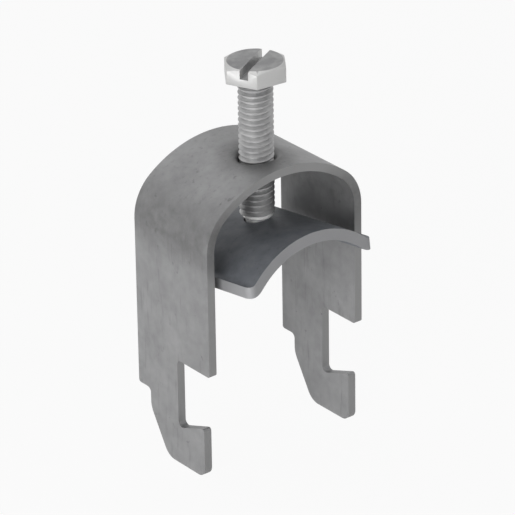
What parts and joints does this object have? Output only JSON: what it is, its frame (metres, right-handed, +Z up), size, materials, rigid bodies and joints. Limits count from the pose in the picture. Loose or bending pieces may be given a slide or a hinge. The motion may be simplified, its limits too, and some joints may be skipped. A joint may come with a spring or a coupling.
{
  "type": "conduit strap",
  "caption": "Hooked sheet-metal strap for a slotted rail, with a clamp screw through its crown and a loose pressure saddle that holds a cable or conduit.",
  "frame": {"origin": "midway between the legs, at mid-width of the strap, in the plane of the rail face on which the fronts of the legs stand", "axes": "+X from leg to leg, +Y along the cable away from the hook toes, +Z up to the screw head"},
  "size_m": [0.033, 0.028, 0.0708],
  "materials": {
    "strap_steel": "matte galvanised sheet",
    "screw_steel": "bright zinc plated",
    "saddle_steel": "matte galvanised sheet, a little bluer"
  },
  "bodies": {
    "strap": {"strap": "strap_steel"},
    "saddle": {"pressure_saddle": "saddle_steel"},
    "screw": {"clamp_screw": "screw_steel"}
  },
  "joints": [
    {"name": "saddle_travel", "type": "slide", "parent": "strap", "child": "saddle", "axis": [0, 0, 1], "range_m": [-0.013, 0.006]},
    {"name": "screw_turn", "type": "hinge", "parent": "saddle", "child": "screw", "pos_m": [0, -0.0025, 0.0211], "axis": [0, 0, 1], "range_deg": [-4680, 2160]}
  ],
  "couplings": [
    {"joint": "screw_turn", "follows": "saddle_travel", "rad_per_m": 6283.1}
  ]
}
